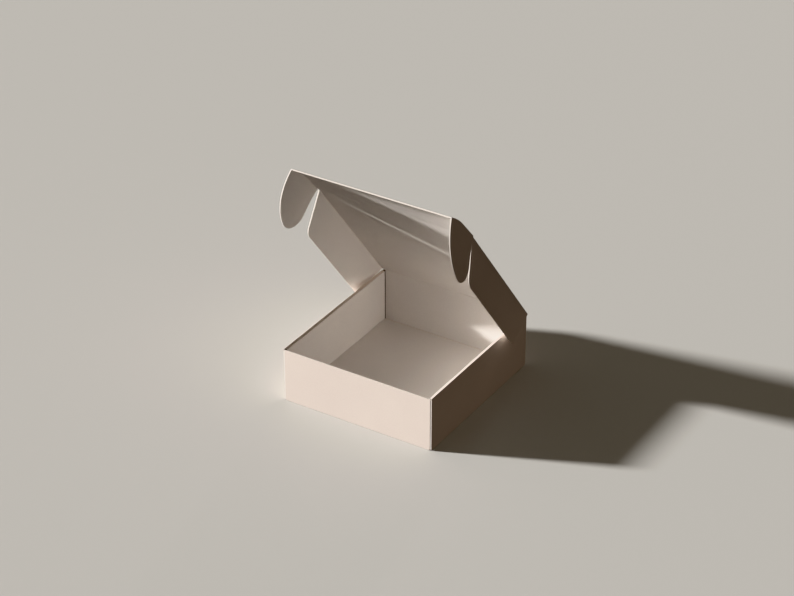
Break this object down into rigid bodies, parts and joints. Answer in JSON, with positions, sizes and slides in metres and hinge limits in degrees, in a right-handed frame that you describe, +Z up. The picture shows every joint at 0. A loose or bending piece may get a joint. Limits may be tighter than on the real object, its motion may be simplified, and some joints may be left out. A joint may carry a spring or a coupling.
{
  "type": "shipping box",
  "caption": "Low square mailer box folded from one card sheet: a tray with rolled side walls, and a hinged lid with side flaps, a front tuck flap and its ears.",
  "frame": {"origin": "centre of the tray's underside, on the surface that the box stands on", "axes": "+Z up, -Y out of the front wall that the tuck flap covers, +X to the right seen from the front"},
  "size_m": [0.2306, 0.215, 0.2891],
  "materials": {
    "card": "smooth matt paper face, pale warm beige"
  },
  "bodies": {
    "tray": {"tray": "card"},
    "lid": {"lid_panel": "card"},
    "tuck": {"tuck_flap": "card"},
    "right_flap": {"right_dust_flap": "card"},
    "left_flap": {"left_dust_flap": "card"},
    "right_ear": {"right_ear": "card"},
    "left_ear": {"left_ear": "card"}
  },
  "joints": [
    {"name": "lid_crease", "type": "hinge", "parent": "tray", "child": "lid", "pos_m": [0, 0.1069, 0.0705], "axis": [-1, 0, 0], "range_deg": [-52, 128]},
    {"name": "tuck_crease", "type": "hinge", "parent": "lid", "child": "tuck", "pos_m": [0, -0.02639, 0.2411], "axis": [1, 0, 0], "range_deg": [-3.5, 82]},
    {"name": "right_flap_crease", "type": "hinge", "parent": "lid", "child": "right_flap", "pos_m": [0.101, 0.1069, 0.0705], "axis": [0, -0.6157, 0.788], "range_deg": [-8, 82]},
    {"name": "left_flap_crease", "type": "hinge", "parent": "lid", "child": "left_flap", "pos_m": [-0.101, 0.1069, 0.0705], "axis": [0, 0.6157, -0.788], "range_deg": [-8, 82]},
    {"name": "right_ear_crease", "type": "hinge", "parent": "tuck", "child": "right_ear", "pos_m": [0.103, -0.02639, 0.2411], "axis": [0, -0.6626, 0.749], "range_deg": [-11.5, 78.5]},
    {"name": "left_ear_crease", "type": "hinge", "parent": "tuck", "child": "left_ear", "pos_m": [-0.103, -0.02639, 0.2411], "axis": [0, 0.6626, -0.749], "range_deg": [-11.5, 78.5]}
  ]
}
